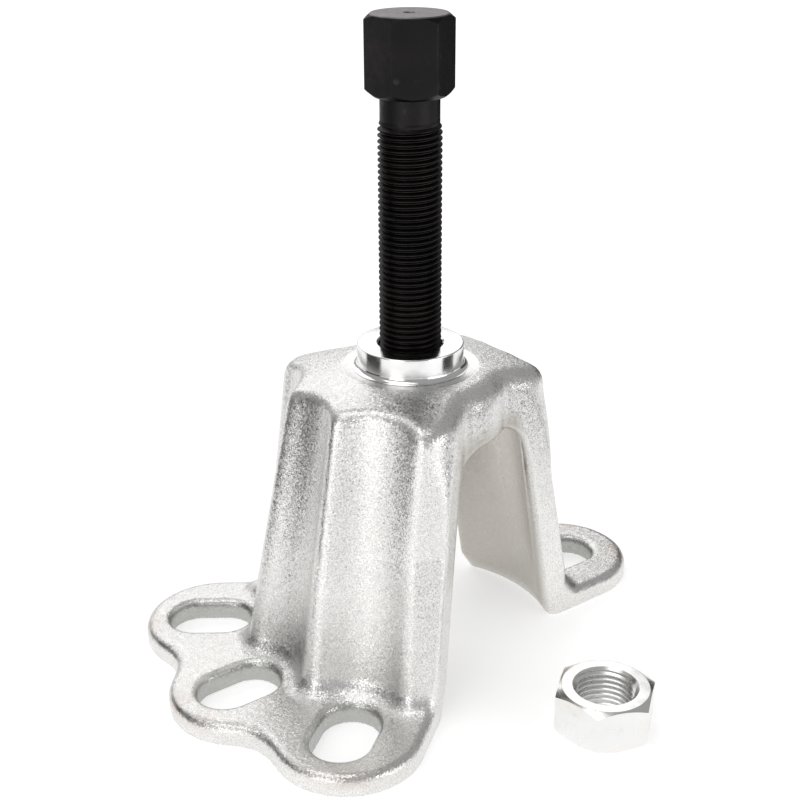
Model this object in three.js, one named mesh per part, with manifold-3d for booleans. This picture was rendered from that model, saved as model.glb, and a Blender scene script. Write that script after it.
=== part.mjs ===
// Bolt-on front wheel-hub puller: a slotted two-leg yoke with a threaded bush, a ball-tipped forcing screw
// and a loose hex nut. Millimetres, +Z up, feet on z = 0, three-slot foot towards -Y.
import * as THREE from 'three';
import { mergeVertices } from 'three/addons/utils/BufferGeometryUtils.js';
import Module from 'manifold-3d';

// ---- driving dimensions -------------------------------------------------------------------------------

const GAP = 0.3;                        // clearance between pieces that touch

// Where the screw axis stands: the origin is at the middle of the footprint of yoke and nut together.
const AXIS_X = -12.93;
const AXIS_Y = -1.3;

// Yoke
const FOOT_THICKNESS = 6.0;
const SLOT_STEP = THREE.MathUtils.degToRad(36);   // between the slots of the wide foot
const SLOT_HALF_WIDTH = 7.5;
const SLOT_INNER = 52.25;               // radius of the slot's inner end centre
const SLOT_OUTER = 59.5;                // radius of its outer end centre
const SLOT_RIM = 1.8;                   // width of the bevel round a slot's mouth
const SLOT_RIM_DEPTH = 0.9;
const EAR_RADIUS = 19.3;                // half the width of an ear, a leg side's distance from its slot
const NEAR_EAR_CENTRE = 54.4;
const FAR_EAR_CENTRE = 57.0;
const EAR_NOTCH_RADIUS = 14.0;          // hollow between neighbouring ears
const HUB_RADIUS = 25.0;                // plan radius of the bridge round the screw
const LEG_FOOT_RADIUS = 47.0;           // outer radius of the legs, projected down to the floor
const LEG_TAPER = 0.19;                 // radius lost per millimetre of height
const FOOT_FILLET = 5.0;
const SHOULDER_ROUND = 8.0;
const SHOULDER_Z = 79.4;
const SPOT_FACE_Z = 81.0;
const SPOT_FACE_RADIUS = 17.6;
const ROOF_Z = 66.0;                    // underside of the bridge
const ROOF_ROUND = 9.0;
const CAVITY_MOUTH_RADIUS = 40.0;
const CAVITY_MOUTH_HEIGHT = 7.0;
const NEAR_CAVITY = { foot: 37.4, taper: 0.195 }; // inner radius of a leg at the floor, and its taper
const FAR_CAVITY = { foot: 37.7, taper: 0.15 };
const FLUTE_RADIUS = 17.0;
const NEAR_FLUTE = { foot: 41.5, taper: 0.165 };  // radius of the flute's floor at z = 0, and its taper
const FAR_FLUTE = { foot: 42.8, taper: 0.165 };
const BORE_RADIUS = 14.0;               // hole in the yoke for the bush

// Threaded bush
const COLLAR_RADIUS = 13.7;
const COLLAR_TOP_Z = 87.3;
const COLLAR_FLARE = 2.2;               // fillet at the foot of the collar, over the spot face
const BUSH_BORE = 8.3;
const BUSH_MOUTH = 9.0;
const BUSH_FLANGE_RADIUS = 17.5;
const BUSH_FLANGE_THICKNESS = 3.2;

// Forcing screw, M16 x 1.5 with a 19 mm hex head
const SCREW_RADIUS = 7.92;
const NECK_RADIUS = 7.35;
const NECK_LENGTH = 5.8;
const SCREW_END_Z = 24.0;
const SCREW_END_BEVEL = 1.4;
const HEAD_BOTTOM_Z = 150.0;
const HEAD_HEIGHT = 19.2;
const HEAD_ACROSS_FLATS = 19.0;
const HEAD_TOP_BEVEL = { face: 9.25, drop: 1.5 };     // radius left flat, and height at the corners
const HEAD_BOTTOM_BEVEL = { face: 8.9, drop: 1.7 };
const HEAD_TURN = THREE.MathUtils.degToRad(-0.9);
const CENTRE_DIMPLE_RADIUS = 1.6;

// Steel ball in the screw's end
const BALL_RADIUS = 4.5;
const BALL_Z = SCREW_END_Z + 1.9;         // past the rim, so that the rim holds it in

// Loose nut, M16 x 1.5
const NUT_ACROSS_FLATS = 23.0;
const NUT_HEIGHT = 12.0;
const NUT_BEVEL = { face: 11.0, drop: 1.3 };
const NUT_BORE = 7.2;
const NUT_MOUTH = 8.3;
const NUT_FROM_AXIS = new THREE.Vector2(63.95, 12.2);
const NUT_TURN = THREE.MathUtils.degToRad(6.5);

const ROUND_STEPS = 64;                 // sides of a turned piece
const LARGE = 400;                      // bigger than the object in every direction

// ---- solids -------------------------------------------------------------------------------------------

const wasm = await Module();
wasm.setup();

// A closed three.js geometry as a manifold solid.
function solid(geometry) {
  const bare = geometry.clone();
  bare.deleteAttribute('normal');
  bare.deleteAttribute('uv');
  const merged = mergeVertices(bare, 1e-4);
  const index = merged.index.array;
  const triVerts = [];
  for (let i = 0; i < index.length; i += 3) {
    const [a, b, c] = [index[i], index[i + 1], index[i + 2]];
    if (a !== b && b !== c && c !== a) triVerts.push(a, b, c);
  }
  return new wasm.Manifold(new wasm.Mesh({
    numProp: 3,
    vertProperties: new Float32Array(merged.attributes.position.array),
    triVerts: new Uint32Array(triVerts),
  }));
}

// A manifold solid as a flat-shaded three.js geometry.
function geometryOf(body) {
  const mesh = body.getMesh();
  const geometry = new THREE.BufferGeometry();
  geometry.setAttribute('position', new THREE.BufferAttribute(new Float32Array(mesh.vertProperties), 3));
  geometry.setIndex(new THREE.BufferAttribute(new Uint32Array(mesh.triVerts), 1));
  const flat = geometry.toNonIndexed();
  flat.computeVertexNormals();
  return flat;
}

// A solid of revolution about Z. The outline runs anticlockwise in (radius, height).
function turned(points, steps = ROUND_STEPS) {
  const outline = points.map(([radius, z]) => new THREE.Vector2(radius, z));
  outline.push(outline[0].clone());
  return solid(new THREE.LatheGeometry(outline, steps).rotateX(Math.PI / 2));
}

// A flat outline raised from z = bottom to z = top.
function raised(shape, bottom, top, curveSegments = 12) {
  const options = { depth: top - bottom, bevelEnabled: false, curveSegments };
  return solid(new THREE.ExtrudeGeometry(shape, options).translate(0, 0, bottom));
}

// Points of a circular arc in (radius, height), from angle a0 to a1 in degrees.
function arc(centreRadius, centreZ, radius, a0, a1, steps) {
  return Array.from({ length: steps + 1 }, (_, i) => {
    const a = THREE.MathUtils.degToRad(a0 + (a1 - a0) * i / steps);
    return [centreRadius + radius * Math.cos(a), centreZ + radius * Math.sin(a)];
  });
}

function polar(radius, angle) {
  return new THREE.Vector2(radius * Math.cos(angle), radius * Math.sin(angle));
}

// Everything above (side = 1) or below (side = -1) a height.
function halfSpace(z, side) {
  return solid(new THREE.BoxGeometry(LARGE, LARGE, LARGE).translate(0, 0, z + side * LARGE / 2));
}

// ---- yoke ---------------------------------------------------------------------------------------------

const NEAR = -Math.PI / 2;              // direction of the wide foot's middle slot
const FAR = Math.PI / 2;                // direction of the narrow foot's slot
const nearSlots = [NEAR - SLOT_STEP, NEAR, NEAR + SLOT_STEP];

const legRadius = (z) => LEG_FOOT_RADIUS - LEG_TAPER * z;

// The legs, bridge and feet as one turned envelope, before the plan shape is cut out of it.
function envelope() {
  const plate = 90;
  const filletRadius = legRadius(FOOT_THICKNESS) + FOOT_FILLET;
  const shoulderZ = SHOULDER_Z - SHOULDER_ROUND;
  const shoulderRadius = legRadius(shoulderZ) - SHOULDER_ROUND;
  return turned([
    [0, 0],
    [plate, 0],
    [plate, FOOT_THICKNESS],
    ...arc(filletRadius, FOOT_THICKNESS + FOOT_FILLET, FOOT_FILLET, 270, 190, 5),
    ...arc(shoulderRadius, shoulderZ, SHOULDER_ROUND, 8, 80, 5),
    [SPOT_FACE_RADIUS, SPOT_FACE_Z],
    [0, SPOT_FACE_Z],
  ], 96);
}

// The wide leg and its foot in plan: three ears with hollows between them, and straight sides.
function nearPlan() {
  const centres = nearSlots.map((angle) => polar(NEAR_EAR_CENTRE, angle));
  const half = SLOT_STEP / 2;
  const reach = EAR_RADIUS + EAR_NOTCH_RADIUS;
  const across = NEAR_EAR_CENTRE * Math.sin(half);
  const notchCentre = NEAR_EAR_CENTRE * Math.cos(half) + Math.sqrt(reach ** 2 - across ** 2);
  const right = nearSlots[2] + Math.PI / 2;
  const left = nearSlots[0] - Math.PI / 2;
  const sideStart = (slot, side) => polar(10, slot).add(polar(EAR_RADIUS, side));
  const shape = new THREE.Shape();
  const start = sideStart(nearSlots[0], left);
  const corner = centres[0].clone().add(polar(EAR_RADIUS, left));
  shape.moveTo(start.x, start.y);
  shape.lineTo(corner.x, corner.y);
  let from = left;
  nearSlots.forEach((slot, i) => {
    const centre = centres[i];
    if (i === 2) {
      shape.absarc(centre.x, centre.y, EAR_RADIUS, from, right, false);
      return;
    }
    const notch = polar(notchCentre, slot + half);
    const out = Math.atan2(notch.y - centre.y, notch.x - centre.x);
    const next = centres[i + 1];
    const back = Math.atan2(notch.y - next.y, notch.x - next.x);
    shape.absarc(centre.x, centre.y, EAR_RADIUS, from, out, false);
    shape.absarc(notch.x, notch.y, EAR_NOTCH_RADIUS, out + Math.PI, back + Math.PI, true);
    from = back;
  });
  const end = sideStart(nearSlots[2], right);
  shape.lineTo(end.x, end.y);
  shape.closePath();
  return shape;
}

// The narrow leg and its foot in plan: one ear with straight sides.
function farPlan() {
  const shape = new THREE.Shape();
  shape.moveTo(-EAR_RADIUS, 0);
  shape.lineTo(EAR_RADIUS, 0);
  shape.absarc(0, FAR_EAR_CENTRE, EAR_RADIUS, 0, Math.PI, false);
  shape.closePath();
  return shape;
}

function hubPlan() {
  return new THREE.Shape().absarc(0, 0, HUB_RADIUS, 0, 2 * Math.PI, false);
}

// The space between the legs, under the bridge.
function cavity({ foot, taper }) {
  const wall = (z) => foot - taper * z;
  const roundZ = ROOF_Z - ROOF_ROUND;
  return turned([
    [0, -1],
    [CAVITY_MOUTH_RADIUS, -1],
    [CAVITY_MOUTH_RADIUS, 0],
    [wall(CAVITY_MOUTH_HEIGHT), CAVITY_MOUTH_HEIGHT],
    ...arc(wall(roundZ) - ROOF_ROUND, roundZ, ROOF_ROUND, 0, 90, 5),
    [0, ROOF_Z],
  ], 96);
}

// A hollow down the outside of a leg, so that a socket fits on the wheel nut in front of it.
function flute(angle, { foot, taper }) {
  const lean = Math.atan(taper);
  const cutter = new THREE.CylinderGeometry(FLUTE_RADIUS, FLUTE_RADIUS, LARGE, 56)
    .rotateX(Math.PI / 2)
    .rotateY(-lean)
    .translate(foot + FLUTE_RADIUS / Math.cos(lean), 0, 0)
    .rotateZ(angle);
  return solid(cutter).intersect(halfSpace(FOOT_THICKNESS, 1));
}

function slotShape(halfWidth) {
  const shape = new THREE.Shape();
  shape.moveTo(SLOT_INNER, -halfWidth);
  shape.absarc(SLOT_OUTER, 0, halfWidth, -Math.PI / 2, Math.PI / 2, false);
  shape.absarc(SLOT_INNER, 0, halfWidth, Math.PI / 2, 3 * Math.PI / 2, false);
  return shape;
}

// A radial stud slot through a foot, with a bevelled mouth.
function slot(angle) {
  const hole = raised(slotShape(SLOT_HALF_WIDTH), -1, FOOT_THICKNESS + 1);
  const bevel = new THREE.ExtrudeGeometry(slotShape(SLOT_HALF_WIDTH), {
    depth: 2 * SLOT_RIM_DEPTH,
    bevelEnabled: true,
    bevelSegments: 1,
    bevelThickness: SLOT_RIM_DEPTH,
    bevelSize: SLOT_RIM,
    curveSegments: 12,
  });
  const mouth = solid(bevel.translate(0, 0, FOOT_THICKNESS));
  return hole.add(mouth).rotate([0, 0, THREE.MathUtils.radToDeg(angle)]);
}

function yoke() {
  const plan = [nearPlan(), farPlan(), hubPlan()]
    .map((shape) => raised(shape, -2, SPOT_FACE_Z + 2, 20))
    .reduce((a, b) => a.add(b));
  const behind = solid(new THREE.BoxGeometry(LARGE, LARGE, LARGE).translate(0, LARGE / 2, 0));
  let body = envelope().intersect(plan)
    .subtract(cavity(NEAR_CAVITY))
    .subtract(cavity(FAR_CAVITY).intersect(behind))
    .subtract(turned([[0, -1], [BORE_RADIUS, -1], [BORE_RADIUS, LARGE], [0, LARGE]]));
  for (const angle of nearSlots) body = body.subtract(flute(angle, NEAR_FLUTE)).subtract(slot(angle));
  return body.subtract(flute(FAR, FAR_FLUTE)).subtract(slot(FAR));
}

// ---- turned and hexagonal pieces ----------------------------------------------------------------------

// The bush goes in from below against its flange. The foot of its collar is spread over the spot face.
function threadedBush() {
  const flangeTop = ROOF_Z - GAP;
  const collarFoot = SPOT_FACE_Z + GAP;
  return turned([
    [BUSH_BORE, flangeTop - BUSH_FLANGE_THICKNESS],
    [BUSH_FLANGE_RADIUS, flangeTop - BUSH_FLANGE_THICKNESS],
    [BUSH_FLANGE_RADIUS, flangeTop],
    [COLLAR_RADIUS, flangeTop],
    [COLLAR_RADIUS, collarFoot],
    [COLLAR_RADIUS + COLLAR_FLARE, collarFoot],
    ...arc(COLLAR_RADIUS + COLLAR_FLARE, collarFoot + COLLAR_FLARE, COLLAR_FLARE, 260, 190, 4),
    [COLLAR_RADIUS, COLLAR_TOP_Z - 0.4],
    [COLLAR_RADIUS - 0.4, COLLAR_TOP_Z],
    [BUSH_MOUTH, COLLAR_TOP_Z],
    [BUSH_BORE, COLLAR_TOP_Z - (BUSH_MOUTH - BUSH_BORE)],
  ]);
}

// A hexagonal prism whose ends are bevelled to a circle, as on a nut or a bolt head.
function hexagon(acrossFlats, bottom, top, turn, bottomBevel, topBevel) {
  const corner = acrossFlats / Math.sqrt(3);
  const prism = new THREE.CylinderGeometry(corner, corner, top - bottom, 6)
    .rotateX(Math.PI / 2)
    .rotateZ(Math.PI / 2 + turn)
    .translate(0, 0, (top + bottom) / 2);
  const ends = turned([
    [0, bottom],
    [bottomBevel.face, bottom],
    [corner, bottom + bottomBevel.drop],
    [corner, top - topBevel.drop],
    [topBevel.face, top],
    [0, top],
  ], 60);
  return solid(prism).intersect(ends);
}

function forcingScrew() {
  const neckBottom = HEAD_BOTTOM_Z - NECK_LENGTH;
  const shank = turned([
    [0, SCREW_END_Z],
    [SCREW_RADIUS - SCREW_END_BEVEL, SCREW_END_Z],
    [SCREW_RADIUS, SCREW_END_Z + SCREW_END_BEVEL],
    [SCREW_RADIUS, neckBottom - 1],
    [NECK_RADIUS, neckBottom],
    [NECK_RADIUS, HEAD_BOTTOM_Z + 1],
    [0, HEAD_BOTTOM_Z + 1],
  ]);
  const top = HEAD_BOTTOM_Z + HEAD_HEIGHT;
  const head = hexagon(HEAD_ACROSS_FLATS, HEAD_BOTTOM_Z, top, HEAD_TURN, HEAD_BOTTOM_BEVEL, HEAD_TOP_BEVEL);
  const dimple = turned([
    [0, top - CENTRE_DIMPLE_RADIUS],
    [CENTRE_DIMPLE_RADIUS, top],
    [CENTRE_DIMPLE_RADIUS, top + 1],
    [0, top + 1],
  ], 24);
  return shank.add(head).subtract(dimple).subtract(ball(BALL_RADIUS + GAP));
}

// The ball at the tip, or the socket round it.
function ball(radius) {
  return solid(new THREE.SphereGeometry(radius, 28, 18).rotateX(Math.PI / 2).translate(0, 0, BALL_Z));
}

function hexNut() {
  const mouth = NUT_MOUTH - NUT_BORE;
  const bore = turned([
    [0, -1],
    [NUT_MOUTH + 1, -1],
    [NUT_BORE, mouth],
    [NUT_BORE, NUT_HEIGHT - mouth],
    [NUT_MOUTH + 1, NUT_HEIGHT + 1],
    [0, NUT_HEIGHT + 1],
  ]);
  return hexagon(NUT_ACROSS_FLATS, 0, NUT_HEIGHT, NUT_TURN, NUT_BEVEL, NUT_BEVEL).subtract(bore);
}

// ---- assembly -----------------------------------------------------------------------------------------

const castSteel = new THREE.MeshStandardMaterial({ color: 0xc9c7c2, roughness: 0.5, metalness: 0.9 });
const brightSteel = new THREE.MeshStandardMaterial({ color: 0xe6e6e6, roughness: 0.15, metalness: 1.0 });
const blackSteel = new THREE.MeshStandardMaterial({ color: 0x161514, roughness: 0.4, metalness: 0.8 });
const ballSteel = new THREE.MeshStandardMaterial({ color: 0xd8d8d8, roughness: 0.1, metalness: 1.0 });
const nutSteel = new THREE.MeshStandardMaterial({ color: 0xdedede, roughness: 0.2, metalness: 1.0 });

function piece(name, body, material) {
  const mesh = new THREE.Mesh(geometryOf(body), material);
  mesh.name = name;
  return mesh;
}

const puller = new THREE.Group();
puller.position.set(AXIS_X, AXIS_Y, 0);
puller.add(piece('yoke', yoke(), castSteel));
puller.add(piece('threaded_bush', threadedBush(), brightSteel));
puller.add(piece('forcing_screw', forcingScrew(), blackSteel));
puller.add(piece('tip_ball', ball(BALL_RADIUS), ballSteel));

const nut = piece('hex_nut', hexNut(), nutSteel);
nut.position.set(NUT_FROM_AXIS.x, NUT_FROM_AXIS.y, 0);
puller.add(nut);

export default puller;
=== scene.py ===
"""Looks of the wheel-hub puller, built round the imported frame.

Shapes are worked out in millimetres, with the screw's axis at x = y = 0, and moved into the frame's
metres when a mesh is made. Angles are in degrees, measured anticlockwise from +X as seen from above.
"""
import math

import bmesh
import bpy
import numpy as np
from mathutils import Matrix, Vector


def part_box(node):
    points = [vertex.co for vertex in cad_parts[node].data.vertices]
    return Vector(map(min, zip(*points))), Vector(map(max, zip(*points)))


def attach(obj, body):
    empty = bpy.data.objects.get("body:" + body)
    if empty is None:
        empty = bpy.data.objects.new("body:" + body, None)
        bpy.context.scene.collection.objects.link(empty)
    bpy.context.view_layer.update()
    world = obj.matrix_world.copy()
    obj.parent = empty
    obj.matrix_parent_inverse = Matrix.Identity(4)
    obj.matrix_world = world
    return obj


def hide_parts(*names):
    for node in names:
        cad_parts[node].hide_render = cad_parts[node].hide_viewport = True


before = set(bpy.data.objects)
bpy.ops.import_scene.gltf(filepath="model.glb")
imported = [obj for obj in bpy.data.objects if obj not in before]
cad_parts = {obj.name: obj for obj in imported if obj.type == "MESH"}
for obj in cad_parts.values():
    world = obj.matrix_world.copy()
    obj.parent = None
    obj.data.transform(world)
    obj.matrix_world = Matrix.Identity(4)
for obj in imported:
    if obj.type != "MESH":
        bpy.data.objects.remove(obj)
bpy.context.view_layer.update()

MM = 0.001


def node_box(name):
    """A CAD node's lowest and highest corner, in millimetres."""
    low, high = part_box(name)
    return np.array(low) / MM, np.array(high) / MM


BUSH_LOW, BUSH_HIGH = node_box("threaded_bush")
NUT_LOW, NUT_HIGH = node_box("hex_nut")
BALL_LOW, BALL_HIGH = node_box("tip_ball")
SCREW_LOW, SCREW_HIGH = node_box("forcing_screw")
YOKE_LOW, YOKE_HIGH = node_box("yoke")

AXIS = (BUSH_LOW + BUSH_HIGH)[:2] / 2          # where the screw's axis stands in the frame
NUT_AXIS = (NUT_LOW + NUT_HIGH)[:2] / 2 - AXIS

# ---- driving dimensions, nearly all the same as the CAD model's ------------------------------------

FOOT_THICKNESS = 6.0
SLOT_STEP = 36.0
NEAR, FAR = -90.0, 90.0                        # directions of the wide foot and the narrow foot
NEAR_SLOTS = (NEAR - SLOT_STEP, NEAR, NEAR + SLOT_STEP)
SLOTS = (*NEAR_SLOTS, FAR)
SLOT_HALF_WIDTH = 7.5
SLOT_INNER, SLOT_OUTER = 52.25, 59.5
EAR_RADIUS = 19.3
NEAR_EAR_CENTRE, FAR_EAR_CENTRE = 54.4, 57.0
EAR_NOTCH_RADIUS = 14.0
HUB_RADIUS = 25.0
LEG_FOOT_RADIUS, LEG_TAPER = 47.6, 0.19
SPOT_FACE_Z = YOKE_HIGH[2]
SPOT_FACE_RADIUS = 17.6
ROOF_Z, ROOF_ROUND = 66.0, 9.0
NEAR_CAVITY, FAR_CAVITY = (37.4, 0.195), (37.7, 0.15)
CAVITY_MOUTH = (40.0, 0.55)                    # the hollow widens near the floor
FLUTE_RADIUS = 17.0
NEAR_FLUTE, FAR_FLUTE = (41.5, 0.165), (42.8, 0.165)
BORE_RADIUS = 14.0

COLLAR_RADIUS = 13.7
COLLAR_TOP_Z = BUSH_HIGH[2]
COLLAR_FLARE = 1.5
BUSH_MOUTH = 8.75
COUNTERBORE_RADIUS, COUNTERBORE_DEPTH = 8.3, 5.2   # lets the screw's neck in
THREAD_CORE_RADIUS = 6.5                       # inside every thread, for the taps to cut away
BUSH_FLANGE_RADIUS = (BUSH_HIGH - BUSH_LOW)[0] / 2
BUSH_FLANGE_THICKNESS = 3.2

PITCH = 1.5                                    # M16 x 1.5
CREST_RADIUS = 7.92
ROOT_RADIUS = 7.0
THREAD_CLEARANCE = 0.14                        # radial, between a screw and its bush or nut
SCREW_END_Z = SCREW_LOW[2]
SCREW_END_BEVEL = 1.4
NECK_RADIUS = 7.35
NECK_LENGTH = 5.8
HEAD_TOP_Z = SCREW_HIGH[2]
HEAD_BOTTOM_Z = HEAD_TOP_Z - 19.2
HEAD_ACROSS_FLATS = 19.0
HEAD_TURN = -0.9
HEAD_TOP_FACE, HEAD_TOP_DROP = 9.25, 1.5       # a bevel's inner radius, and how far it drops to the corners
HEAD_BOTTOM_FACE, HEAD_BOTTOM_DROP = 8.9, 1.7
DIMPLE_RADIUS = 1.6

BALL_RADIUS = (BALL_HIGH - BALL_LOW)[2] / 2
BALL_Z = (BALL_LOW + BALL_HIGH)[2] / 2

NUT_ACROSS_FLATS = 23.0
NUT_HEIGHT = NUT_HIGH[2]
NUT_FACE, NUT_DROP = 11.0, 1.3
NUT_MOUTH = 8.3
NUT_TURN = 6.5

# ---- how the forging is softened -------------------------------------------------------------------
# A lean is the cosine of the angle between two surfaces' normals where they meet.

NOTCH_START, NOTCH_LEAN = 50.0, 0.22           # the ears are filleted together beyond this radius
EAR_ROOT = 10.0                                # where the wide foot's ears begin
HUB_FILLET, HUB_LEAN = 8.0, 0.8
DOME_RADIUS, DOME_RISE = 127.0, 1.25           # the crown of the top, and its height over the spot face
NEAR_RIBS, FAR_RIBS = (25, 45), (14, 28)       # a leg's outer ribs begin between these angles off its middle
RIB_START_Z, RIB_FLARE = 45.0, 0.09            # above a height they stand out more and more
SHOULDER_ROUND, SHOULDER_LEAN = 6.0, 0.4
FLUTE_EDGE, FLUTE_LEAN = 4.5, 0.55
FOOT_FILLET = 4.5
CAVITY_BLEND = (-3, 5)                         # the two legs' hollows merge between these values of y
ROOF_LEAN, HOLLOW_LEAN = 0.19, -0.3
UNDERSIDE_EDGE = 0.8

# Values that change with height: the value at the floor, then for each change the height where it
# begins, the height where it ends, and its size
PLAN_EDGE = (1.0, (1.5, 3.0, 1.4), (8, 14, -0.8), (54, 72, 5.2))
PLAN_LEAN = (0.0, (8, 14, 0.4), (60, 72, -0.2))
HOLLOW_EDGE = (2.6, (52, 66, -1.6))
SLOT_EDGE = (0.5, (2.0, 3.6, 1.5))

# ---- fineness ----------------------------------------------------------------------------------------

VOXEL = 0.62                                   # grid step of the yoke's surface
GRID_SLABS = 16                                # the grid is filled in slabs, to save memory
MARGIN = 2.0                                   # the grid and the cutters run past the yoke
COLUMNS, FINE_COLUMNS = 96, 128                # sides of a turned piece
THREAD_COLUMNS = 64
CORNER_STEPS = 4
WELD_DISTANCE = 0.0006


# ---- mesh tools ---------------------------------------------------------------------------------------

def mesh_object(name, vertices, faces, offset=(0.0, 0.0, 0.0)):
    """An object from vertices in millimetres about the screw's axis."""
    place = np.array([AXIS[0], AXIS[1], 0.0]) + np.array(offset)
    mesh = bpy.data.meshes.new(name)
    mesh.from_pydata(((np.asarray(vertices) + place) * MM).tolist(), [], faces)
    mesh.validate()
    piece = bpy.data.objects.new(name, mesh)
    bpy.context.scene.collection.objects.link(piece)
    return piece


def merge(piece):
    """Welds vertices that coincide, and turns every face outwards."""
    edit = bmesh.new()
    edit.from_mesh(piece.data)
    bmesh.ops.remove_doubles(edit, verts=edit.verts, dist=WELD_DISTANCE * MM)
    bmesh.ops.recalc_face_normals(edit, faces=edit.faces)
    edit.to_mesh(piece.data)
    edit.free()


def combine(piece, other, operation):
    """Joins, cuts or intersects a piece with another one, which is used up."""
    step = piece.modifiers.new(operation, "BOOLEAN")
    step.object = other
    step.operation = operation
    step.solver = "MANIFOLD"
    graph = bpy.context.evaluated_depsgraph_get()
    made = bpy.data.meshes.new_from_object(piece.evaluated_get(graph))
    piece.modifiers.clear()
    piece.data = made
    bpy.data.objects.remove(other)


def shade(piece, sharp_angle):
    """Smooth shading, with creases where faces meet at more than an angle in degrees."""
    piece.data.shade_smooth()
    piece.data.set_sharp_from_angle(angle=math.radians(sharp_angle))


def lathe(name, outline, columns=COLUMNS, offset=(0.0, 0.0, 0.0)):
    """A turned solid from an outline in (radius, height).

    The outline starts and ends on the axis, or is a closed loop away from it."""
    loop = outline[0][0] > 0
    turns = [2 * math.pi * i / columns for i in range(columns)]
    vertices = [(r * math.cos(a), r * math.sin(a), z) for r, z in outline for a in turns]
    rows = len(outline)
    faces = []
    for row in range(rows if loop else rows - 1):
        below, above = row * columns, (row + 1) % rows * columns
        for i in range(columns):
            j = (i + 1) % columns
            faces.append((below + i, below + j, above + j, above + i))
    piece = mesh_object(name, vertices, faces, offset)
    merge(piece)
    return piece


def arc(centre, radius, start, end, steps):
    """Points of an arc in (radius, height)."""
    angles = [math.radians(start + (end - start) * i / steps) for i in range(steps + 1)]
    return [(centre[0] + radius * math.cos(a), centre[1] + radius * math.sin(a)) for a in angles]


def rounded(outline, radius):
    """An outline with each corner between its two ends replaced by a curve of about a radius."""
    made = [outline[0]]
    for before, corner, after in zip(outline, outline[1:], outline[2:]):
        a = Vector(before) - Vector(corner)
        b = Vector(after) - Vector(corner)
        half = a.angle(b) / 2
        cut_back = min(radius / math.tan(half), 0.45 * a.length, 0.45 * b.length)
        start = Vector(corner) + a.normalized() * cut_back
        end = Vector(corner) + b.normalized() * cut_back
        for i in range(CORNER_STEPS + 1):
            t = i / CORNER_STEPS
            point = start * (1 - t) ** 2 + Vector(corner) * 2 * t * (1 - t) + end * t ** 2
            made.append((point.x, point.y))
    made.append(outline[-1])
    return made


# ---- distance fields, for the forged yoke -------------------------------------------------------------
# Each returns the distance to a shape's surface, negative inside.

def join(a, b, radius, lean=0.0):
    """Union with a fillet of a radius in its inner corner.

    lean is the cosine of the angle between the two surfaces' normals there, 0 for a square corner."""
    u, v = radius - a, radius - b
    p, q = u - lean * v, v - lean * u
    fillet = radius - np.sqrt(np.maximum(p * u + q * v, 0) / (1 - lean * lean))
    return np.where((p > 0) & (q > 0), fillet, np.minimum(a, b))


def common(a, b, radius, lean=0.0):
    """Intersection with its outer edge rounded to a radius."""
    return -join(-a, -b, radius, lean)


def cut(a, b, radius, lean=0.0):
    """a without b, with the edge rounded to a radius."""
    return common(a, -b, radius, lean)


def blend(value, low, high):
    """0 below low, 1 above high, and a smooth step between them."""
    t = np.clip((value - low) / (high - low), 0, 1)
    return t * t * (3 - 2 * t)


def at_height(z, profile):
    """A value that changes with height. See PLAN_EDGE for what a profile holds."""
    value, *changes = profile
    for low, high, size in changes:
        value = value + size * blend(z, low, high)
    return value


def bar(x, y, direction, inner, outer, half_width):
    """A plan shape with parallel sides and round ends, lying along a direction from the axis."""
    a = math.radians(direction)
    along = x * math.cos(a) + y * math.sin(a)
    across = y * math.cos(a) - x * math.sin(a)
    return np.hypot(along - np.clip(along, inner, outer), across) - half_width


def slot(x, y, direction):
    """A stud slot seen from above."""
    return bar(x, y, direction, SLOT_INNER, SLOT_OUTER, SLOT_HALF_WIDTH)


def cone(radius, z, size):
    """A cone about the screw's axis, from its radius at the floor and its taper."""
    foot, taper = size
    return (radius - foot + taper * z) / math.hypot(1, taper)


def flute(x, y, z, direction, size):
    """A round groove down the outside of a leg, leaning with it."""
    foot, taper = size
    a = math.radians(direction)
    along = x * math.cos(a) + y * math.sin(a)
    across = y * math.cos(a) - x * math.sin(a)
    lean = math.hypot(1, taper)
    return np.hypot((along - foot + taper * z) / lean - FLUTE_RADIUS, across) - FLUTE_RADIUS


def yoke_plan(x, y):
    """The yoke seen from above: three ears, one ear and the round hub, filleted together."""
    r = np.hypot(x, y)
    left, middle, right = [bar(x, y, a, EAR_ROOT, NEAR_EAR_CENTRE, EAR_RADIUS) for a in NEAR_SLOTS]
    notched = join(left, middle, EAR_NOTCH_RADIUS, NOTCH_LEAN)
    notched = join(notched, right, EAR_NOTCH_RADIUS, NOTCH_LEAN)
    near = np.where(r > NOTCH_START, notched, np.minimum(np.minimum(left, middle), right))
    far = bar(x, y, FAR, 0, FAR_EAR_CENTRE, EAR_RADIUS)
    hub = r - HUB_RADIUS
    return join(join(near, hub, HUB_FILLET, HUB_LEAN), far, HUB_FILLET, HUB_LEAN)


def leg_field(x, y, z):
    """The domed cone that holds both legs, with flared ribs and a flute over each slot."""
    r = np.hypot(x, y)
    dome = np.sqrt(r * r + (z - SPOT_FACE_Z - DOME_RISE + DOME_RADIUS) ** 2) - DOME_RADIUS
    off_middle = np.degrees(np.arctan2(np.abs(x), np.abs(y)))
    rib = np.where(y < 0, blend(off_middle, *NEAR_RIBS), blend(off_middle, *FAR_RIBS))
    flare = rib * RIB_FLARE * np.maximum(z - RIB_START_Z, 0)
    legs = common(cone(r, z, (LEG_FOOT_RADIUS + flare, LEG_TAPER)), dome, SHOULDER_ROUND, SHOULDER_LEAN)
    for direction in NEAR_SLOTS:
        legs = cut(legs, flute(x, y, z, direction, NEAR_FLUTE), FLUTE_EDGE, FLUTE_LEAN)
    return cut(legs, flute(x, y, z, FAR, FAR_FLUTE), FLUTE_EDGE, FLUTE_LEAN)


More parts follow.
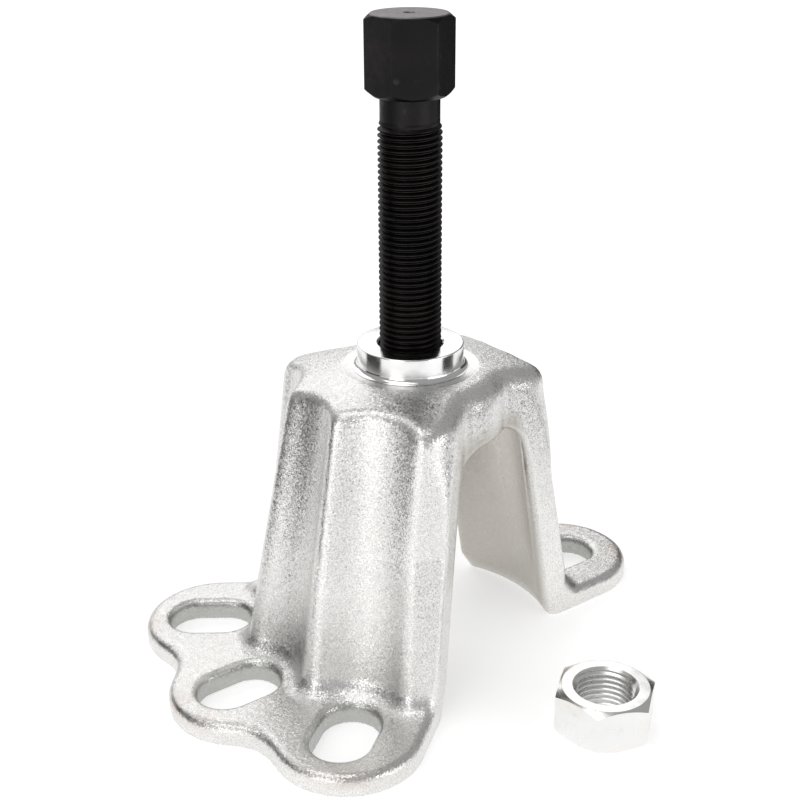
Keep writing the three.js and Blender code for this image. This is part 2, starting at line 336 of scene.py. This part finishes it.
def hollow_field(x, y, z):
    """The space between and inside the legs, up to the roof under the bridge."""
    r = np.hypot(x, y)
    near_wall, far_wall = cone(r, z, NEAR_CAVITY), cone(r, z, FAR_CAVITY)
    side = blend(y, *CAVITY_BLEND)
    wall = near_wall * (1 - side) + far_wall * side
    return common(np.minimum(wall, cone(r, z, CAVITY_MOUTH)), z - ROOF_Z, ROOF_ROUND, ROOF_LEAN)


def yoke_field(points):
    """The forged yoke before machining."""
    x, y, z = points
    body = join(leg_field(x, y, z), z - FOOT_THICKNESS, FOOT_FILLET)
    body = common(body, yoke_plan(x, y), at_height(z, PLAN_EDGE), at_height(z, PLAN_LEAN))
    body = cut(body, hollow_field(x, y, z), at_height(z, HOLLOW_EDGE), HOLLOW_LEAN)
    body = common(body, -z, UNDERSIDE_EDGE)
    for direction in SLOTS:
        body = cut(body, slot(x, y, direction), at_height(z, SLOT_EDGE))
    return body


# ---- from a distance field to a mesh -----------------------------------------------------------------

CELL_CORNERS = [(i, j, k) for i in (0, 1) for j in (0, 1) for k in (0, 1)]


def sampled(field, axes):
    """A field's value at every point of a grid."""
    slabs = []
    for x in np.array_split(axes[0], GRID_SLABS):
        slabs.append(field(np.meshgrid(x, axes[1], axes[2], indexing="ij")).astype(np.float32))
    return np.concatenate(slabs)


def crossed_cells(inside):
    """The grid cells that the surface passes through, one row of indices for each."""
    shape = tuple(n - 1 for n in inside.shape)
    count = np.zeros(shape, np.int8)
    for i, j, k in CELL_CORNERS:
        count += inside[i:i + shape[0], j:j + shape[1], k:k + shape[2]]
    return np.argwhere((count > 0) & (count < len(CELL_CORNERS)))


def cell_points(value, cells):
    """The mean of the points where the surface crosses each cell's edges, in grid steps."""
    total = np.zeros((len(cells), 3))
    crossings = np.zeros(len(cells))
    for a in CELL_CORNERS:
        for axis in range(3):
            if a[axis]:
                continue
            b = tuple(v + (n == axis) for n, v in enumerate(a))
            va = value[tuple((cells + a).T)]
            vb = value[tuple((cells + b).T)]
            crossed = (va < 0) != (vb < 0)
            t = np.where(crossed, va / np.where(crossed, va - vb, 1), 0)
            total += np.where(crossed, 1, 0)[:, None] * (np.array(a) + t[:, None] * np.eye(3)[axis])
            crossings += crossed
    return cells + total / crossings[:, None]


def net_faces(inside, number):
    """One four-cornered face round each grid edge that crosses the surface.

    number holds the vertex of each cell."""
    faces = []
    for axis in range(3):
        first, second = (axis + 1) % 3, (axis + 2) % 3
        here = np.take(inside, range(inside.shape[axis] - 1), axis)
        there = np.take(inside, range(1, inside.shape[axis]), axis)
        for solid_below in (True, False):
            edges = np.argwhere((here == solid_below) & (there != solid_below))
            around = []
            for u, v in ((1, 1), (0, 1), (0, 0), (1, 0)):
                cell = edges.copy()
                cell[:, first] -= u
                cell[:, second] -= v
                around.append(number[tuple(cell.T)])
            quads = np.stack(around, 1)
            faces.append(quads if solid_below else quads[:, ::-1])
    return np.concatenate(faces)


def surface_net(field, low, high, step):
    """Vertices (3 x n) and four-cornered faces (m x 4) of the surface where a field is zero."""
    axes = [np.arange(a, b + step, step, dtype=np.float32) for a, b in zip(low, high)]
    value = sampled(field, axes)
    inside = value < 0
    cells = crossed_cells(inside)
    vertices = cell_points(value, cells) * step + np.array([axis[0] for axis in axes])
    number = np.full([n - 1 for n in value.shape], -1, np.int32)
    number[tuple(cells.T)] = np.arange(len(cells))
    return vertices.T, net_faces(inside, number)


def relaxed(points, faces, rounds=2):
    """Evens out a surface net: each point moves towards the middle of its neighbours."""
    stay, move = 0.4, 0.6
    for _ in range(rounds):
        total = np.zeros_like(points)
        count = np.zeros(points.shape[1])
        for i in range(4):
            a, b = faces[:, i], faces[:, (i + 1) % 4]
            for start, end in ((a, b), (b, a)):
                np.add.at(count, start, 1)
                for axis in range(3):
                    np.add.at(total[axis], start, points[axis, end])
        points = points * stay + total / count * move
    return points


def on_surface(points, field, rounds=4):
    """Moves points onto the surface where a field is zero."""
    small = 0.05
    least_slope_squared = 0.04
    for _ in range(rounds):
        value = field(points)
        slope = np.stack([
            (field(points + small * axis[:, None]) - field(points - small * axis[:, None])) / (2 * small)
            for axis in np.eye(3)
        ])
        steep = np.maximum((slope ** 2).sum(0), least_slope_squared)
        points = points - slope * np.clip(value / steep, -0.5 * VOXEL, 0.5 * VOXEL)
    return points


# ---- pieces -------------------------------------------------------------------------------------------

def mark_slot_shade(yoke):
    """Stores on each vertex whether it lies on a stud slot's wall, where the material paints shade."""
    places = np.empty(3 * len(yoke.data.vertices), dtype=np.float32)
    yoke.data.vertices.foreach_get("co", places)
    x, y = places.reshape(-1, 3).T[:2] / MM - AXIS[:, np.newaxis]
    from_wall = np.min([slot(x, y, direction) for direction in SLOTS], axis=0)
    layer = yoke.data.attributes.new("slot_shade_mask", "FLOAT", "POINT")
    layer.data.foreach_set("value", 1.0 - blend(from_wall, 0.1, 0.6))


def spot_facer():
    """What the machining takes away: the bore and the flat round its top, with a small bevel."""
    bevel_width, bevel_rise = 0.3, 0.15
    outline = [
        (0, -MARGIN),
        (BORE_RADIUS, -MARGIN),
        (BORE_RADIUS, SPOT_FACE_Z),
        (SPOT_FACE_RADIUS, SPOT_FACE_Z),
        (SPOT_FACE_RADIUS + bevel_width, SPOT_FACE_Z + bevel_rise),
        (SPOT_FACE_RADIUS + bevel_width, SPOT_FACE_Z + MARGIN),
        (0, SPOT_FACE_Z + MARGIN),
    ]
    return lathe("spot_facer", outline)


def make_yoke():
    low = YOKE_LOW - [*AXIS, 0] - MARGIN
    high = YOKE_HIGH - [*AXIS, 0] + MARGIN
    points, faces = surface_net(yoke_field, low, high, VOXEL)
    points = on_surface(relaxed(points, faces), yoke_field)
    yoke = mesh_object("yoke_forging", points.T, faces.tolist())
    combine(yoke, spot_facer(), "DIFFERENCE")
    shade(yoke, 35)
    mark_slot_shade(yoke)
    return yoke


# Thread outline over one pitch: (share of the pitch, 0 at the root and 1 at the crest)
THREAD = ((-0.07, 1.0), (0.07, 1.0), (0.405, 0.1), (0.45, 0.0), (0.55, 0.0), (0.595, 0.1))


def thread_column(low, high, grow, ends, start):
    """Points (radius, height) down one side of a thread that begins a share of a pitch higher."""
    first = math.floor(low / PITCH) - 2
    last = math.ceil(high / PITCH) + 1
    column = [(0.0, low)]
    for turn in range(first, last):
        for share, height in THREAD:
            z = (turn + share + start) * PITCH
            within = min(max(z, low), high)
            radius = ROOT_RADIUS + (CREST_RADIUS - ROOT_RADIUS) * height
            past_end = z <= low or z >= high
            column.append((ends(0.0 if past_end else radius, within) + grow, within))
    column.append((0.0, high))
    return column


def threaded_rod(name, low, high, grow, ends, offset=(0.0, 0.0, 0.0)):
    """A solid screw thread from one height to another, grown by a radius all round.

    ends takes a point's radius and height and returns the radius that the shape of the rod's ends
    leaves. The radius it is given is 0 for a point past an end."""
    vertices = []
    for i in range(THREAD_COLUMNS + 1):
        angle = 2 * math.pi * i / THREAD_COLUMNS
        column = thread_column(low, high, grow, ends, i / THREAD_COLUMNS)
        vertices += [(r * math.cos(angle), r * math.sin(angle), z) for r, z in column]
    rows = len(column)
    faces = []
    for i in range(THREAD_COLUMNS):
        for row in range(rows - 1):
            a, b = i * rows + row, (i + 1) * rows + row
            faces.append((a, b, b + 1, a + 1))
    piece = mesh_object(name, vertices, faces, offset)
    merge(piece)
    return piece


def hexagon(name, across_flats, bottom, top, turn, edge, offset=(0.0, 0.0, 0.0)):
    """A six-sided prism with its upright edges rounded."""
    reach = across_flats / math.sqrt(3) - edge / math.cos(math.radians(30))
    outline = []
    for i in range(6):
        middle = 60 * i + turn
        centre = (reach * math.cos(math.radians(middle)), reach * math.sin(math.radians(middle)))
        outline += arc(centre, edge, middle - 30, middle + 30, CORNER_STEPS)
    n = len(outline)
    vertices = [(x, y, z) for z in (bottom, top) for x, y in outline]
    faces = [(i, (i + 1) % n, n + (i + 1) % n, n + i) for i in range(n)]
    faces += [tuple(reversed(range(n))), tuple(range(n, 2 * n))]
    return mesh_object(name, vertices, faces, offset)


def make_shank():
    """The screw's thread, with a bevelled end, and the plain neck that it runs out to."""
    neck_bottom = HEAD_BOTTOM_Z - NECK_LENGTH
    run_out = 2.2

    def ends(radius, z):
        limit = CREST_RADIUS - SCREW_END_BEVEL + max(z - SCREW_END_Z, 0.0)
        if not radius:
            return NECK_RADIUS if z > HEAD_BOTTOM_Z - 2 * NECK_LENGTH else limit
        to_neck = min(max((z - neck_bottom + run_out) / run_out, 0.0), 1.0)
        return min(radius * (1 - to_neck) + NECK_RADIUS * to_neck, limit)

    shank = threaded_rod("forcing_screw_body", SCREW_END_Z, neck_bottom, 0.0, ends)
    neck_radius = NECK_RADIUS - 0.02           # just inside the thread's end, so that the two don't coincide
    neck = [
        (0, neck_bottom - 1),
        (neck_radius, neck_bottom - 1),
        (neck_radius, HEAD_BOTTOM_Z + 1),
        (0, HEAD_BOTTOM_Z + 1),
    ]
    combine(shank, lathe("neck", neck, THREAD_COLUMNS), "UNION")
    return shank


def make_head():
    """The hex head, bevelled above and below, with a centre dimple."""
    corner = HEAD_ACROSS_FLATS / math.sqrt(3)
    head = hexagon("head", HEAD_ACROSS_FLATS, HEAD_BOTTOM_Z, HEAD_TOP_Z, HEAD_TURN, 0.35)
    outline = [
        (0, HEAD_BOTTOM_Z),
        (HEAD_BOTTOM_FACE, HEAD_BOTTOM_Z),
        (corner, HEAD_BOTTOM_Z + HEAD_BOTTOM_DROP),
        (corner + 1, HEAD_BOTTOM_Z + 3),
        (corner + 1, HEAD_TOP_Z - 3),
        (corner, HEAD_TOP_Z - HEAD_TOP_DROP),
        (HEAD_TOP_FACE, HEAD_TOP_Z),
        (DIMPLE_RADIUS, HEAD_TOP_Z),
        (DIMPLE_RADIUS * 0.5, HEAD_TOP_Z - DIMPLE_RADIUS * 0.8),
        (0, HEAD_TOP_Z - DIMPLE_RADIUS),
    ]
    combine(head, lathe("head_turning", rounded(outline, 0.25), FINE_COLUMNS), "INTERSECT")
    return head


def make_screw():
    screw = make_shank()
    combine(screw, make_head(), "UNION")
    gap = 0.15
    socket = lathe("socket", arc((0, BALL_Z), BALL_RADIUS + gap, -90, 90, 24), THREAD_COLUMNS)
    combine(screw, socket, "DIFFERENCE")
    shade(screw, 28)
    return screw


def make_ball():
    ball = lathe("tip_ball_polished", arc((0, BALL_Z), BALL_RADIUS, -90, 90, 40), 80)
    shade(ball, 60)
    return ball


def open_ends(radius, z):
    """The ends of a thread cutter: it runs past the piece that it cuts, so they leave it whole."""
    return radius or ROOT_RADIUS


def make_bush():
    flange_bottom = ROOF_Z - 0.3 - BUSH_FLANGE_THICKNESS
    flange_top = ROOF_Z - 0.3
    foot = SPOT_FACE_Z + 0.05
    edge = 0.35
    outline = [
        (CREST_RADIUS + 0.6, flange_bottom),
        (BUSH_FLANGE_RADIUS - edge, flange_bottom),
        (BUSH_FLANGE_RADIUS, flange_bottom + edge),
        (BUSH_FLANGE_RADIUS, flange_top),
        (COLLAR_RADIUS, flange_top),
        (COLLAR_RADIUS, foot),
        *arc((COLLAR_RADIUS + COLLAR_FLARE, foot + COLLAR_FLARE), COLLAR_FLARE, 266, 180, 10),
        *arc((COLLAR_RADIUS - edge, COLLAR_TOP_Z - edge), edge, 0, 90, CORNER_STEPS),
        (BUSH_MOUTH, COLLAR_TOP_Z),
        (COUNTERBORE_RADIUS, COLLAR_TOP_Z - BUSH_MOUTH + COUNTERBORE_RADIUS),
        (COUNTERBORE_RADIUS, COLLAR_TOP_Z - COUNTERBORE_DEPTH),
        (THREAD_CORE_RADIUS, COLLAR_TOP_Z - COUNTERBORE_DEPTH - 1.2),
        (THREAD_CORE_RADIUS, flange_bottom + 2.0),
    ]
    bush = lathe("threaded_bush_body", outline, FINE_COLUMNS)
    cutter = threaded_rod("bush_tap", BUSH_LOW[2] - 3, COLLAR_TOP_Z + 3, THREAD_CLEARANCE, open_ends)
    combine(bush, cutter, "DIFFERENCE")
    shade(bush, 28)
    return bush


def make_nut():
    place = (*NUT_AXIS, 0.0)
    corner = NUT_ACROSS_FLATS / math.sqrt(3)
    nut = hexagon("hex_nut_body", NUT_ACROSS_FLATS, 0, NUT_HEIGHT, NUT_TURN, 0.3, place)
    bevels = [
        (0, 0),
        (NUT_FACE, 0),
        (corner, NUT_DROP),
        (corner + 1, NUT_DROP + 1),
        (corner + 1, NUT_HEIGHT - NUT_DROP - 1),
        (corner, NUT_HEIGHT - NUT_DROP),
        (NUT_FACE, NUT_HEIGHT),
        (0, NUT_HEIGHT),
    ]
    combine(nut, lathe("nut_turning", rounded(bevels, 0.25), FINE_COLUMNS, place), "INTERSECT")
    cutter = threaded_rod("nut_tap", -3, NUT_HEIGHT + 3, THREAD_CLEARANCE, open_ends, place)
    combine(nut, cutter, "DIFFERENCE")
    countersinks = [
        (0, -1),
        (NUT_MOUTH + 1, -1),
        (NUT_MOUTH - 2, 2),
        (NUT_MOUTH - 2, NUT_HEIGHT - 2),
        (NUT_MOUTH + 1, NUT_HEIGHT + 1),
        (0, NUT_HEIGHT + 1),
    ]
    combine(nut, lathe("countersinks", countersinks, COLUMNS, place), "DIFFERENCE")
    shade(nut, 28)
    return nut


# ---- materials ----------------------------------------------------------------------------------------

class Nodes:
    """A material's node tree, with short calls for the nodes it uses."""

    def __init__(self, name):
        self.material = bpy.data.materials.new(name)
        self.material.use_nodes = True
        self.tree = self.material.node_tree
        self.shader = self.tree.nodes["Principled BSDF"]
        self.place = self.tree.nodes.new("ShaderNodeTexCoord").outputs["Object"]

    def put(self, value, socket):
        if isinstance(value, bpy.types.NodeSocket):
            self.tree.links.new(value, socket)
        else:
            socket.default_value = value

    def add(self, kind, inputs, output=0, **settings):
        node = self.tree.nodes.new(kind)
        for name, value in settings.items():
            setattr(node, name, value)
        for name, value in inputs.items():
            self.put(value, node.inputs[name])
        return node.outputs[output]

    def maths(self, operation, a, b=0.0):
        return self.add("ShaderNodeMath", {0: a, 1: b}, operation=operation)

    def vector(self, operation, a, b=(0.0, 0.0, 0.0), output=0):
        return self.add("ShaderNodeVectorMath", {0: a, 1: b}, output, operation=operation)

    def noise(self, scale, detail=2.0):
        return self.add("ShaderNodeTexNoise", {"Vector": self.place, "Scale": scale, "Detail": detail})

    def ramp(self, value, low, high, to_low=0.0, to_high=1.0):
        return self.add("ShaderNodeMapRange", {0: value, 1: low, 2: high, 3: to_low, 4: to_high})

    def mix(self, factor, a, b):
        node = self.tree.nodes.new("ShaderNodeMix")
        node.data_type = "RGBA"
        self.put(factor, node.inputs["Factor"])
        self.put(a, node.inputs["A"])
        self.put(b, node.inputs["B"])
        return node.outputs["Result"]

    def bump(self, height, distance, strength, normal=None):
        inputs = {"Height": height, "Distance": distance, "Strength": strength}
        if normal:
            inputs["Normal"] = normal
        return self.add("ShaderNodeBump", inputs)

    def set(self, **sockets):
        for name, value in sockets.items():
            self.put(value, self.shader.inputs[name.replace("_", " ")])


def axis_distance(nodes):
    """Distance in metres from the screw's axis."""
    moved = nodes.vector("SUBTRACT", nodes.place, (AXIS[0] * MM, AXIS[1] * MM, 0.0))
    flat = nodes.vector("MULTIPLY", moved, (1.0, 1.0, 0.0))
    return nodes.vector("LENGTH", flat, output=1)


def above_floor(nodes):
    """Height in metres."""
    return nodes.add("ShaderNodeSeparateXYZ", {"Vector": nodes.place}, "Z")


def machined_area(nodes):
    """1 on the spot face, 0 elsewhere."""
    round_face = nodes.ramp(axis_distance(nodes), 0.0180, 0.0177)
    return nodes.maths("MULTIPLY", round_face, nodes.ramp(above_floor(nodes), 0.0803, 0.0806))


def hollow_area(nodes):
    """1 on the walls of the hollow below its roof, 0 elsewhere: there the colour is darkened as painted
    shade, and the grain is smoother.
    """
    height = above_floor(nodes)
    wall = nodes.maths("SUBTRACT", 0.0396, nodes.maths("MULTIPLY", height, 0.165))
    within = nodes.ramp(nodes.maths("SUBTRACT", axis_distance(nodes), wall), 0.0012, -0.0012)
    return nodes.maths("MULTIPLY", within, nodes.ramp(height, 0.071, 0.066))


def worn_area(nodes):
    """Patches on the upper outer rims of the feet, where the plating is rubbed."""
    rim = nodes.ramp(axis_distance(nodes), 0.064, 0.073)
    patches = nodes.maths("MULTIPLY", rim, nodes.ramp(nodes.noise(70.0, 3.0), 0.4, 0.65))
    return nodes.maths("MULTIPLY", patches, nodes.ramp(above_floor(nodes), 0.002, 0.004))


def forged_colour(nodes, machined, inside):
    pale, bright = (0.83, 0.825, 0.81, 1), (0.91, 0.905, 0.89, 1)
    grey_speck, bronze = (0.5, 0.49, 0.47, 1), (0.66, 0.55, 0.49, 1)
    # Two painted shades: darker colours for the stud slots' walls and for the hollow's walls, where shade
    # falls.
    slot_painted_shade, hollow_painted_shade = (0.4, 0.405, 0.385, 1), (0.49, 0.465, 0.42, 1)
    faced_steel = (0.88, 0.87, 0.85, 1)
    colour = nodes.mix(nodes.ramp(nodes.noise(45.0, 3.0), 0.35, 0.7), pale, bright)
    speck = nodes.ramp(nodes.noise(3200.0, 1.0), 0.4, 0.66)
    colour = nodes.mix(nodes.maths("MULTIPLY", speck, 0.6), colour, grey_speck)
    colour = nodes.mix(nodes.maths("MULTIPLY", worn_area(nodes), 0.6), colour, bronze)
    # Painted shade: the stud slots' walls are darkened towards grey in colour, standing in for the shade
    # inside the slots.
    slot_shade_mask = nodes.add("ShaderNodeAttribute", {}, "Fac", attribute_name="slot_shade_mask")
    colour = nodes.mix(nodes.maths("MULTIPLY", slot_shade_mask, 0.75), colour, slot_painted_shade)
    # Painted shade: the hollow's walls under the bridge are darkened to a dim beige in colour, standing in
    # for the shade inside.
    colour = nodes.mix(nodes.maths("MULTIPLY", inside, 0.85), colour, hollow_painted_shade)
    return nodes.mix(machined, colour, faced_steel)


def grain_normal(nodes, smoother):
    """The surface's normal, tilted at random in each grain, and less where it is smoother."""
    grain = nodes.add("ShaderNodeTexVoronoi", {"Vector": nodes.place, "Scale": 3800.0}, "Color")
    tilt = nodes.vector("SUBTRACT", grain, (0.5, 0.5, 0.5))
    steepness = nodes.maths("SUBTRACT", 0.3, nodes.maths("MULTIPLY", smoother, 0.2))
    tilt = nodes.add("ShaderNodeVectorMath", {0: tilt, "Scale": steepness}, operation="SCALE")
    normal = nodes.add("ShaderNodeNewGeometry", {}, "Normal")
    return nodes.vector("NORMALIZE", nodes.vector("ADD", normal, tilt))


def forged_zinc():
    """Zinc-plated rough forging: pale silver, each grain catching the light on its own, with painted shade
    on the slot walls and on the hollow's walls.
    """
    nodes = Nodes("forged_zinc")
    machined, inside = machined_area(nodes), hollow_area(nodes)
    nodes.set(Base_Color=forged_colour(nodes, machined, inside), Metallic=1.0)
    nodes.set(Normal=grain_normal(nodes, nodes.maths("MAXIMUM", machined, inside)))
    nodes.set(Roughness=nodes.ramp(nodes.noise(900.0, 2.0), 0.3, 0.7, 0.27, 0.42))
    return nodes.material


def ring_wave(nodes, distance, spacing):
    """A wave for fine tool rings, from a distance and the spacing of the rings in metres."""
    return nodes.maths("SINE", nodes.maths("MULTIPLY", distance, 2 * math.pi / spacing))


def turned_steel():
    """Bright turned steel with fine tool rings."""
    nodes = Nodes("turned_steel")
    bright, dull = (0.86, 0.865, 0.87, 1), (0.78, 0.77, 0.755, 1)
    rings = ring_wave(nodes, nodes.maths("ADD", axis_distance(nodes), above_floor(nodes)), 0.00022)
    nodes.set(Base_Color=nodes.mix(nodes.ramp(nodes.noise(120.0, 4.0), 0.4, 0.75), bright, dull))
    nodes.set(Metallic=1.0, Roughness=nodes.ramp(nodes.noise(300.0, 3.0), 0.3, 0.7, 0.1, 0.2))
    nodes.set(Normal=nodes.bump(nodes.maths("MULTIPLY", rings, nodes.noise(500.0)), 0.000006, 0.6))
    return nodes.material


def black_oxide():
    """Black-oxide steel: near black, semi-matt, with faint brown and grey scuffs and a turned end face,
    whose lighter grey is partly a painted sheen.
    """
    nodes = Nodes("black_oxide")
    black, brown = (0.018, 0.018, 0.019, 1), (0.027, 0.023, 0.022, 1)
    scuff_grey, turned_grey_and_sheen = (0.10, 0.09, 0.085, 1), (0.27, 0.255, 0.26, 1)
    tone = nodes.mix(nodes.ramp(nodes.noise(60.0, 3.0), 0.4, 0.65), black, brown)
    scuff = nodes.ramp(nodes.noise(260.0, 5.0), 0.62, 0.8)
    tone = nodes.mix(nodes.maths("MULTIPLY", scuff, 0.4), tone, scuff_grey)
    end_face = nodes.ramp(above_floor(nodes), HEAD_TOP_Z * MM - 0.0004, HEAD_TOP_Z * MM - 0.0001)
    # The turned end face is painted lighter grey: partly its turned finish, partly a painted sheen where
    # light falls on the top.
    nodes.set(Base_Color=nodes.mix(end_face, tone, turned_grey_and_sheen))
    nodes.set(Metallic=1.0, Specular_Tint=(0.7, 0.7, 0.7, 1))
    nodes.set(Roughness=nodes.ramp(nodes.noise(700.0, 3.0), 0.3, 0.7, 0.3, 0.48))
    rings = ring_wave(nodes, axis_distance(nodes), 0.0004)
    turned = nodes.bump(nodes.maths("MULTIPLY", rings, end_face), 0.000012, 0.6)
    nodes.set(Normal=nodes.bump(nodes.noise(1400.0, 3.0), 0.00004, 0.5, turned))
    return nodes.material


def ball_steel():
    """Polished ball with faint wear."""
    nodes = Nodes("ball_steel")
    wear = nodes.ramp(nodes.noise(400.0, 4.0), 0.45, 0.75)
    nodes.set(Base_Color=nodes.mix(wear, (0.82, 0.82, 0.83, 1), (0.6, 0.59, 0.57, 1)))
    nodes.set(Metallic=1.0, Roughness=nodes.ramp(wear, 0.0, 1.0, 0.07, 0.22))
    return nodes.material


def nut_zinc():
    """Bright zinc with a faint yellow tint and small dull spots."""
    nodes = Nodes("nut_zinc")
    tint = nodes.ramp(nodes.noise(90.0, 4.0), 0.45, 0.7)
    spots = nodes.ramp(nodes.noise(420.0, 3.0), 0.6, 0.72)
    colour = nodes.mix(tint, (0.87, 0.87, 0.865, 1), (0.84, 0.82, 0.76, 1))
    nodes.set(Base_Color=nodes.mix(nodes.maths("MULTIPLY", spots, 0.4), colour, (0.62, 0.6, 0.56, 1)))
    nodes.set(Metallic=1.0, Roughness=nodes.ramp(nodes.noise(240.0, 4.0), 0.3, 0.75, 0.16, 0.32))
    nodes.set(Normal=nodes.bump(nodes.noise(600.0, 3.0), 0.00003, 0.5))
    return nodes.material


def dress(piece, material, body, node):
    """Gives a piece its material, and tells the frame what it rides on and what it replaces."""
    piece.data.materials.clear()
    piece.data.materials.append(material)
    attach(piece, body)
    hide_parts(node)


dress(make_yoke(), forged_zinc(), "puller", "yoke")
dress(make_bush(), turned_steel(), "puller", "threaded_bush")
dress(make_screw(), black_oxide(), "screw", "forcing_screw")
dress(make_ball(), ball_steel(), "tip", "tip_ball")
dress(make_nut(), nut_zinc(), "nut", "hex_nut")


# ---- floor, light and camera --------------------------------------------------------------------------

CAMERA_FROM_AXIS = (260.16, -198.42, 211.53)
CAMERA_HEADING = 143.15
CAMERA_PITCH = -23.27
CAMERA_ROLL = -0.32
LENS = 61.28
LIGHT_AIM = Vector((0.0, 0.0, 0.06))           # in metres, like every size of the stage below
FLOOR_HALF = 4.0
WORLD_BRIGHTNESS = 0.36


def link(name, data):
    """A new object in the scene."""
    made = bpy.data.objects.new(name, data)
    bpy.context.scene.collection.objects.link(made)
    return made


def stage_sheet(name, corners, material):
    """A flat four-cornered part of the stage."""
    mesh = bpy.data.meshes.new(name)
    mesh.from_pydata(corners, [], [(0, 1, 2, 3)])
    mesh.materials.append(material)
    sheet = link(name, mesh)
    return sheet


def make_floor():
    nodes = Nodes("floor_white")
    nodes.set(Base_Color=nodes.mix(nodes.noise(3.0), (0.86, 0.86, 0.86, 1), (0.89, 0.89, 0.89, 1)))
    nodes.set(Roughness=0.9, Specular_IOR_Level=0.1)
    nodes.set(Emission_Color=(1, 1, 1, 1), Emission_Strength=0.5)
    corners = [(x * FLOOR_HALF, y * FLOOR_HALF, 0) for x, y in ((-1, -1), (1, -1), (1, 1), (-1, 1))]
    stage_sheet("floor", corners, nodes.material)


def make_camera():
    camera = link("camera", bpy.data.cameras.new("camera"))
    camera.data.lens = LENS
    camera.data.clip_start = 0.01
    camera.location = (Vector(CAMERA_FROM_AXIS) + Vector((*AXIS, 0))) * MM
    turn = (Matrix.Rotation(math.radians(CAMERA_HEADING - 90), 3, "Z")
            @ Matrix.Rotation(math.radians(90 + CAMERA_PITCH), 3, "X")
            @ Matrix.Rotation(math.radians(CAMERA_ROLL), 3, "Z"))
    camera.rotation_mode = "QUATERNION"
    camera.rotation_quaternion = turn.to_quaternion()
    bpy.context.scene.camera = camera


def softbox(name, azimuth, elevation, distance, width, height, brightness):
    """A soft area light. Its azimuth is measured to the right from the front, as the camera sees it."""
    light = bpy.data.lights.new(name, "AREA")
    light.shape = "RECTANGLE"
    light.size, light.size_y = width, height
    light.energy = brightness * math.pi * width * height
    lamp = link(name, light)
    a = math.radians(CAMERA_HEADING + 180 + azimuth)
    e = math.radians(elevation)
    out = Vector((math.cos(a) * math.cos(e), math.sin(a) * math.cos(e), math.sin(e)))
    lamp.location = LIGHT_AIM + distance * out
    lamp.rotation_euler = (-out).to_track_quat("-Z", "Y").to_euler()


def flag(azimuth, distance, width, height):
    """A dark card that stands beside the object, seen only in what its bright metal reflects."""
    a = math.radians(CAMERA_HEADING + 180 + azimuth)
    out = Vector((math.cos(a), math.sin(a), 0))
    side = Vector((-math.sin(a), math.cos(a), 0)) * width / 2
    middle = Vector((*AXIS, 0)) * MM + out * distance
    up = Vector((0, 0, height))
    nodes = Nodes("flag_black")
    nodes.set(Base_Color=nodes.mix(nodes.noise(20.0), (0.03, 0.03, 0.03, 1), (0.05, 0.05, 0.05, 1)))
    nodes.set(Roughness=0.9)
    corners = [middle - side, middle + side, middle + side + up, middle - side + up]
    card = stage_sheet("flag", corners, nodes.material)
    card.visible_camera = card.visible_diffuse = card.visible_shadow = False


def make_world():
    world = bpy.data.worlds.new("studio")
    world.use_nodes = True
    background = world.node_tree.nodes["Background"]
    background.inputs["Color"].default_value = (1, 1, 1, 1)
    background.inputs["Strength"].default_value = WORLD_BRIGHTNESS
    bpy.context.scene.world = world


make_floor()
make_camera()
make_world()
softbox("key_right", 58, 8, 0.9, 0.7, 0.25, 2.4)
softbox("fill_left", -30, 14, 1.0, 0.5, 0.5, 2.0)
softbox("overhead", -45, 68, 1.2, 0.8, 0.8, 1.5)
softbox("back_left", 200, 34, 1.6, 1.9, 1.15, 1.05)
flag(-84, 0.2, 0.15, 0.1)
flag(84, 0.2, 0.11, 0.06)
flag(146, 0.4, 0.3, 0.16)
bpy.context.scene.view_settings.view_transform = "Standard"
